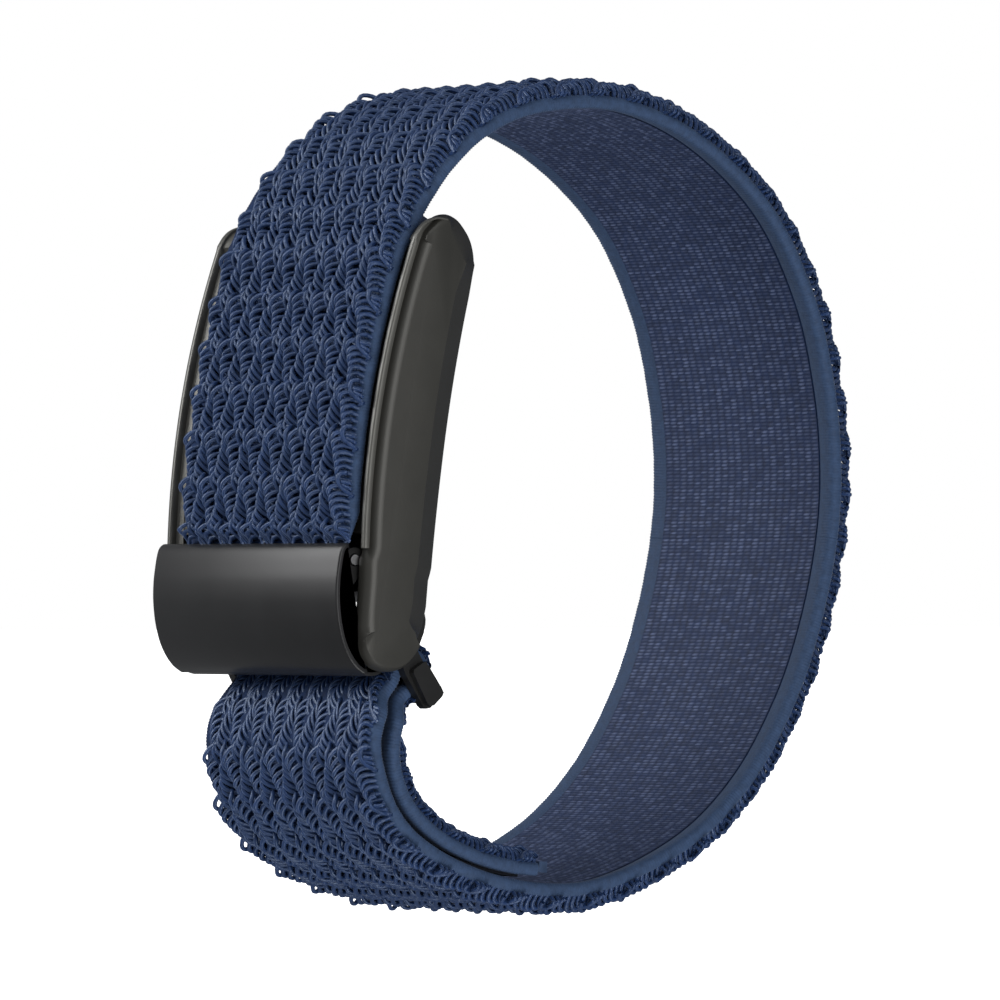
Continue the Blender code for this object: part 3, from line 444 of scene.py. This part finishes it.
def weave(name, s0, s1, thick=lambda s: np.full_like(np.asarray(s, float), 1.0)):
    """The flat inner face: short floats in rows across the strap."""
    row, col = 0.29, 0.95
    s = np.arange(round(s0 / (row / 2)), round(s1 / (row / 2)) + 1) * row / 2
    n = len(s)
    per = 4
    xs = np.arange(-10.55, 10.56, col / per)
    m = len(xs)
    ridx = np.round(s / (row / 2)).astype(int)
    crest = (ridx % 2).astype(float)
    r = ridx // 2
    ph = (xs[None, :] / col + 0.09 * r[:, None] * 0 + 0.32 * ((r[:, None] % 2) * 0.35))
    cell = np.floor(ph).astype(int)
    frac = ph - cell
    shape = np.clip(np.sin(np.pi * frac) * 1.5 - 0.35, 0, 1)
    tab = np.random.default_rng(11).random((int(r.max()) + 3, 64))
    rand = tab[r[:, None] % len(tab), cell % 64]
    t = -0.54 - crest[:, None] * (0.035 + 0.05 * shape * (0.5 + rand))
    tone = crest[:, None] * (0.10 + shape * (0.15 + 0.75 * rand ** 1.4))
    tone = np.broadcast_to(tone, t.shape)
    x = xs[None, :] + 0.05 * np.sin(s * 0.9)[:, None] * (np.abs(xs[None, :]) < 10.2)
    jog = (rand - 0.5) * 0.06 * (np.abs(xs[None, :]) < 10.2)
    v = np.stack([np.broadcast_to(x, t.shape), np.repeat(s[:, None], m, 1) + jog, t * thick(s)[:, None]], -1)
    v = v.reshape(-1, 3)
    f = grid_faces(n, m)[:, ::-1]
    return add(name, place(v), f, "weave", tone=tone.ravel())


def flap_half(s):
    return ramp(s, S_EYE - 1, S_EYE + 2.5, 11.2, STRAP_HALF)


def flap_thick(s):
    return ramp(s, S_EYE + 0.3, S_EYE + 2.6, 0.45, 1.0)


def flap_height(s):
    return ramp(s, S_EYE - 0.5, S_EYE + 0.9, 0.25, 1.0)


one = lambda s: np.full_like(np.asarray(s, float), 1.0)  # noqa: E731
S_SPLIT, S_MID, S_OUT, S_IN = 34.655, 98.02, 164.75, 178.4
lift_a, lift_b = at_s(32.2), at_s(27.2)
for ob in (cords("flap_cords", S_EYE - 0.30, S_SPLIT, flap_height),
           ground("flap_ground", 0.15, S_SPLIT, half=flap_half, thick=flap_thick),
           weave("flap_weave", S_EYE + 2.7, S_SPLIT)):
    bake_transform(ob)
    if ob.name == "flap_ground":
        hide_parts("strap_flap", "strap_bend_top")


def loop_height(s):
    return ramp(s, S_OUT - 5, S_OUT - 0.3, 1.0, 0.45)


for ob in (cords("loop_cords_upper", S_SPLIT, S_MID, loop_height),
           cords("loop_cords_lower", S_MID, S_OUT, loop_height),
           ground("loop_ground_upper", S_SPLIT - 0.02, S_MID + 0.02),
           ground("loop_ground_lower", S_MID, S_OUT),
           weave("loop_weave_upper", S_SPLIT, S_MID),
           weave("loop_weave_lower", S_MID, S_OUT)):
    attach(ob, "band")
    if ob.name == "loop_ground_upper":
        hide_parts("strap_loop")


def fold_half(s):
    return ramp(s, S_OUT, S_OUT + 2.2, STRAP_HALF, 11.2) + ramp(s, S_IN - 2.2, S_IN, 0, STRAP_HALF - 11.2)


for ob in (cords("fold_cords", S_OUT, S_IN - 0.5, lambda s: ramp(s, S_IN - 2, S_IN, 0.40, 0.62) * 1.0,
                 half=lambda s: fold_half(s) / STRAP_HALF),
           ground("fold_ground", S_OUT - 0.02, S_IN + 0.45, half=fold_half)):
    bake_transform(ob)
    if ob.name == "fold_ground":
        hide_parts("strap_fold")
for ob in (cords("tail_cords", S_IN + 1.5, S_END - 1.7, lambda s: ramp(s, S_IN, S_IN + 3, 0.62, 0.82)),
           ground("tail_ground", S_IN + 0.4, S_END - 1.5)):
    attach(ob, "tail")
    if ob.name == "tail_ground":
        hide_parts("strap_tail")


# ---------------------------------------------------------------- carrier
def top(z):
    return RAIL_Y + z * z / RAIL_R2


def under(z):
    return 2.8 + z * z / (250.0 if z > 0 else 420.0)


def chamfer(z):
    up = min(1, max(0, (z + 12.6) / 2.0))
    dn = min(1, max(0, (15.2 - z) / 1.6))
    return 0.6 + 1.4 * min(up, dn)


def smooth01(t):
    t = min(1.0, max(0.0, t))
    return t * t * (3 - 2 * t)


def side_section(edge_in, wrist_in, shrink):
    """Closed outline of the carrier at one level of X, in the tilted frame."""
    zs = np.linspace(-15.2, 15.4, 61)
    out = []
    for z in zs:
        f = smooth01((z + 9.7) / 1.1)
        out.append((top(z) + 0.80 * f + 0.42 * (1 - f) * smooth01((z + 15.2) / 5.0) + edge_in, z))
    cap = catmull([(-3.35, 14.3), (-2.15, 15.4), (-1.88, 16.05), (-1.35, 16.75), (-0.65, 17.4), (0.3, 17.7),
                   (1.3, 17.48), (2.1, 16.9), (2.78, 16.15), (3.22, 15.25), (3.44, 14.4)], 4)[5:-1]
    out += [(y - 1.5 * wrist_in * smooth01((y + 0.4) / 3.0), z - 0.9 * wrist_in * smooth01((y + 0.4) / 1.8)
             * smooth01((z - 14.2) / 1.6)) for y, z in cap]
    for z in np.linspace(14.3, -15.2, 60):
        low = under(z) if z > -12.5 else under(-12.5) - 0.29 * (-12.5 - z)
        low -= 0.10 * smooth01((z - 11.5) / 2.9) + 0.20 * smooth01((-9.3 - z) / 0.9) * smooth01((z + 13.6) / 0.8)
        out.append((low - (0.6 + 1.4 * smooth01((z + 15.2) / 1.6) - 0.5 * smooth01((z - 11.5) / 2.9)) * wrist_in, z))
    foot = catmull([(2.4, -15.2), (1.95, -16.2), (1.3, -17.05), (0.6, -17.5), (-0.3, -17.7), (-1.2, -17.62),
                    (-2.1, -17.2), (-2.75, -16.4), (-3.0, -15.2)], 4)[2:-2]
    out += [tuple(q) for q in foot]
    out = np.array(out)
    if shrink:
        c = out.mean(0)
        d = out - c
        reach = np.linalg.norm(d, axis=1)[:, None]
        end = np.clip((np.abs(out[:, 1] - 0.2) - 13.5) / 3.0, 0, 1)[:, None]
        out = out - d / reach * shrink * end
    return out


levels = []
R = 0.9
for a in (90, 66, 44, 22, 0):
    sn, cs = math.sin(math.radians(a)), math.cos(math.radians(a))
    x = CARRIER_HALF - R + R * sn
    levels.append((x, R * (1 - cs), (x - 12.65) / 1.1 if x > 12.65 else 0.0, 0.55 * (1 - cs)))
levels.append((12.65, 0.0, 0.0, 0.0))
full = sorted([(-x, e, w, g) for x, e, w, g in levels]) + sorted(levels)
rings = [np.column_stack([np.full(len(o), x), o]) for x, e, w, g in full
         for o in [side_section(e, max(0.0, w), g)]]
m_ring = len(rings[0])
pod = np.concatenate(rings)


def tilt(v):
    """Tilted frame (x, y, z) to the row frame."""
    y, z = POD_AT[0] + C * v[:, 1] - S * v[:, 2], POD_AT[1] + S * v[:, 1] + C * v[:, 2]
    return np.column_stack([v[:, 0], y, z])


def prism(name, outline, x0, x1):
    o = np.array(outline, float)
    n = len(o)
    v = np.concatenate([np.column_stack([np.full(n, x), o]) for x in (x0, x1)])
    ob = add(name, tilt(v), grid_faces(2, n, True), "carrier",
             caps=[list(range(n))[::-1], list(range(n, 2 * n))])
    return ob


def boolean(ob, tools, how="DIFFERENCE"):
    for tool in tools:
        for o in (ob, tool):
            bm_fix(o)
        mod = ob.modifiers.new("cut", "BOOLEAN")
        mod.object = tool
        mod.operation = how
        mod.solver = "EXACT"
        dg = bpy.context.evaluated_depsgraph_get()
        me = bpy.data.meshes.new_from_object(ob.evaluated_get(dg))
        ob.modifiers.clear()
        ob.data = me
        bpy.data.objects.remove(tool, do_unlink=True)
    return ob


def bm_fix(o):
    import bmesh
    bm = bmesh.new()
    bm.from_mesh(o.data)
    bmesh.ops.recalc_face_normals(bm, faces=bm.faces)
    if bm.calc_volume(signed=True) < 0:
        bmesh.ops.reverse_faces(bm, faces=bm.faces)
    bm.to_mesh(o.data)
    bm.free()


carrier = add("carrier_body", tilt(pod), grid_faces(len(rings), m_ring, True), "carrier",
              caps=[list(range(m_ring))[::-1], list(range((len(rings) - 1) * m_ring, len(rings) * m_ring))])
FLOOR_Y = -4.05
floor_line = [(FLOOR_Y + z * z / RAIL_R2, z) for z in np.linspace(14.8, -7.5, 24)]
channel = prism("tool_channel", [(-9, -19), (-9, 19), (9, 19), (9, 14.8)] + floor_line
                + [(-2.4, -7.5), (-2.4, -11.85), (9, -11.85), (9, -19)], -CHEEK_IN, CHEEK_IN)
pocket = prism("tool_pocket", [(9, -11.15), (-1.75, -11.15), (-1.75, -6.9)]
               + [(-2.6 + z * z / 144.0, z) for z in np.linspace(-6.9, 14.15, 18)] + [(9, 14.15)], -12.05, 12.05)
boolean(carrier, [channel, pocket])
carrier.data.shade_smooth()
carrier.data.set_sharp_from_angle(angle=math.radians(28))
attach(carrier, "band")
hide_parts("carrier_frame")

# the slim outer rail along each cheek, in front of the groove, in a lighter copy of the carrier's material: a painted
# highlight along its lit strip
rail_sec = [(12.46, 1.2), (12.46, 0.75), (12.9, 0.66), (13.14, 0.55), (13.18, 0.12), (13.26, 0.02), (13.38, 0.0),
            (13.58, 0.02), (13.68, 0.08), (13.72, 0.16), (13.72, 0.36), (13.66, 0.43), (13.4, 0.46), (13.2, 0.52),
            (13.16, 0.75), (13.16, 2.2), (12.46, 2.2)]
rail_line = np.concatenate([[(top(z), z) for z in np.linspace(-8.75, 15.0, 60)],
                            catmull([(-2.95, 15.4), (-2.55, 16.2), (-1.95, 16.9), (-1.15, 17.45), (-0.3, 17.72)], 4)])
rail_dir = np.gradient(rail_line, axis=0)
rail_dir /= np.linalg.norm(rail_dir, axis=1)[:, None]
rail_in = np.column_stack([rail_dir[:, 1], -rail_dir[:, 0]])
rail_sink = 0.45 * np.clip((np.arange(len(rail_line)) - 66) / 10.0, 0, 1) ** 1.5
for sgn, label in ((1, "near"), (-1, "far")):
    sec = np.array(rail_sec)
    zs = rail_line
    v = np.concatenate([np.column_stack([sgn * sec[:, 0],
                                         q[None, :] + nn[None, :] * (sec[:, 1:2] * (1.0 if i < 60 else 0.45) + sk)])
                        for i, (q, nn, sk) in enumerate(zip(rail_line, rail_in, rail_sink))])
    n = len(sec)
    rail = add("carrier_rail_" + label, tilt(v), grid_faces(len(zs), n, True), "rail",
               caps=[list(range(n)), list(range((len(zs) - 1) * n, len(zs) * n))[::-1]], sharp=40)
    bm_fix(rail)
    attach(rail, "band")


# ---------------------------------------------------------------- clasp cover
def shell(name, mid, half_t, x_half, edge, mat):
    """A sheet along a middle line with rounded rims, across X."""
    m = catmull(mid, 8)
    d = np.gradient(m, axis=0)
    d /= np.linalg.norm(d, axis=1)[:, None]
    nn = np.stack([-d[:, 1], d[:, 0]], axis=1)
    vs = []
    lv = []
    for a in (90, 60, 30, 0):
        lv.append((x_half - edge + edge * math.sin(math.radians(a)), 1 - math.cos(math.radians(a))))
    lv = sorted([(-x, g) for x, g in lv]) + sorted(lv)
    for x, g in lv:
        h = half_t - edge * g
        trim = edge * g
        core = m.copy()
        core[0] += d[0] * trim
        core[-1] -= d[-1] * trim
        outer, inner = core - nn * h, core + nn * h
        tip = [core[-1] + d[-1] * h * 0.75 - nn[-1] * h * 0.6, core[-1] + d[-1] * h, core[-1] + d[-1] * h * 0.75
               + nn[-1] * h * 0.6]
        tail = [core[0] - d[0] * h * 0.75 + nn[0] * h * 0.6, core[0] - d[0] * h, core[0] - d[0] * h * 0.75
                - nn[0] * h * 0.6]
        o = np.concatenate([outer, tip, inner[::-1], tail])
        vs.append(np.column_stack([np.full(len(o), x), o]))
    n = len(vs[0])
    ob = add(name, tilt(np.concatenate(vs)), grid_faces(len(vs), n, True), mat,
             caps=[list(range(n))[::-1], list(range((len(vs) - 1) * n, len(vs) * n))], sharp=50)
    bm_fix(ob)
    return ob


cover_mid = [(-4.93, -8.72), (-5.16, -8.98), (-5.27, -9.45), (-5.31, -10.3), (-5.3, -11.4), (-5.17, -12.6),
             (-4.95, -13.63), (-4.64, -14.65), (-4.13, -15.82), (-3.47, -16.77), (-2.68, -17.5), (-1.85, -17.9)]
cover = shell("clasp_cover_shell", cover_mid, 0.25, 12.75, 0.16, "cover")
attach(cover, "clasp")
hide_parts("clasp_cover")
lip = shell("clasp_cover_lip", [(-2.3, -17.68), (-1.85, -17.86), (-1.15, -17.95), (-0.42, -17.78), (0.02, -17.45)],
            0.2, 12.15, 0.12, "cover")
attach(lip, "clasp")

# soft rounding on the hard pieces kept from the CAD
for node, width in (("buckle_ring", 0.10), ("clasp_frame", 0.05), ("case_bottom", 0.06)):
    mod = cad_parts[node].modifiers.new("soft_edge", "BEVEL")
    mod.width = width * MM
    mod.segments = 2
    mod.limit_method = "ANGLE"
    mod.angle_limit = math.radians(40)
    mod.harden_normals = False

# ---------------------------------------------------------------- stage, light and camera
def stage_material(name, strength, colour=(1, 1, 1)):
    m = bpy.data.materials.new(name)
    m.use_nodes = True
    p = m.node_tree.nodes["Principled BSDF"]
    p.inputs["Base Color"].default_value = (0.82, 0.82, 0.82, 1)
    p.inputs["Roughness"].default_value = 0.9
    p.inputs["Emission Color"].default_value = (*colour, 1)
    p.inputs["Emission Strength"].default_value = strength
    return m


low = -0.036
me = bpy.data.meshes.new("studio_floor")
me.from_pydata([(-6, -6, low), (6, -6, low), (6, 6, low), (-6, 6, low)], [], [(0, 1, 2, 3)])
me.materials.append(stage_material("floor_pale", 1.4))
floor = bpy.data.objects.new("studio_floor", me)
bpy.context.scene.collection.objects.link(floor)
floor.visible_diffuse = False
floor.visible_glossy = False
floor.visible_shadow = False

world = bpy.data.worlds.new("studio")
bpy.context.scene.world = world
world.use_nodes = True
nt = world.node_tree
nt.nodes.clear()
out = nt.nodes.new("ShaderNodeOutputWorld")
path = nt.nodes.new("ShaderNodeLightPath")
mix = nt.nodes.new("ShaderNodeMixShader")
amb = nt.nodes.new("ShaderNodeBackground")
amb.inputs["Color"].default_value = (0.93, 0.96, 1.0, 1)
amb.inputs["Strength"].default_value = 0.22
seen = nt.nodes.new("ShaderNodeBackground")
seen.inputs["Color"].default_value = (1, 1, 1, 1)
seen.inputs["Strength"].default_value = 1.0
nt.links.new(path.outputs["Is Camera Ray"], mix.inputs["Fac"])
nt.links.new(amb.outputs[0], mix.inputs[1])
nt.links.new(seen.outputs[0], mix.inputs[2])
nt.links.new(mix.outputs[0], out.inputs["Surface"])

A, E, D = math.radians(55), math.radians(-0.5), 0.820
r = np.array([math.cos(A), math.sin(A), 0])
b = np.array([math.sin(A) * math.cos(E), -math.cos(A) * math.cos(E), math.sin(E)])
u = np.cross(b, r)


def aim(ob, at, look=(0, 0, 0), up=(0, 0, 1)):
    f = np.array(look, float) - np.array(at, float)
    f /= np.linalg.norm(f)
    rt = np.cross(f, up)
    rt /= np.linalg.norm(rt)
    uu = np.cross(rt, f)
    from mathutils import Matrix
    ob.matrix_world = Matrix(((rt[0], uu[0], -f[0], at[0]), (rt[1], uu[1], -f[1], at[1]),
                              (rt[2], uu[2], -f[2], at[2]), (0, 0, 0, 1)))


def softbox(name, where, size, power, colour=(1, 1, 1)):
    """A soft light placed by camera-right, up and towards-camera distances in metres."""
    li = bpy.data.lights.new(name, "AREA")
    li.shape = "RECTANGLE"
    li.size, li.size_y = size
    li.energy = power
    li.color = colour
    ob = bpy.data.objects.new(name, li)
    bpy.context.scene.collection.objects.link(ob)
    at = r * where[0] + u * where[1] + b * where[2]
    aim(ob, at, up=(0, 0, 1) if abs(where[1]) < 0.9 * max(abs(where[0]), abs(where[2]), 1e-3) else tuple(b))
    ob.visible_camera = False
    return ob


softbox("key_left", (-0.78, 0.36, -0.05), (0.5, 0.5), 5.2)
softbox("key_upper", (-0.42, 0.68, 0.42), (0.45, 0.35), 2.0)
softbox("fill_front", (0.36, 0.12, 0.76), (0.5, 0.7), 3.6)
softbox("low_fill", (0.17, -0.72, 0.48), (0.5, 0.5), 4.2)

cam = bpy.data.cameras.new("photo_camera")
cam.sensor_width = 36
cam.lens = 377.9
cam.clip_start, cam.clip_end = 0.05, 20
cob = bpy.data.objects.new("photo_camera", cam)
bpy.context.scene.collection.objects.link(cob)
aim(cob, b * D, up=tuple(u))
bpy.context.scene.camera = cob
bpy.context.scene.view_settings.view_transform = "Standard"

bpy.context.view_layer.update()
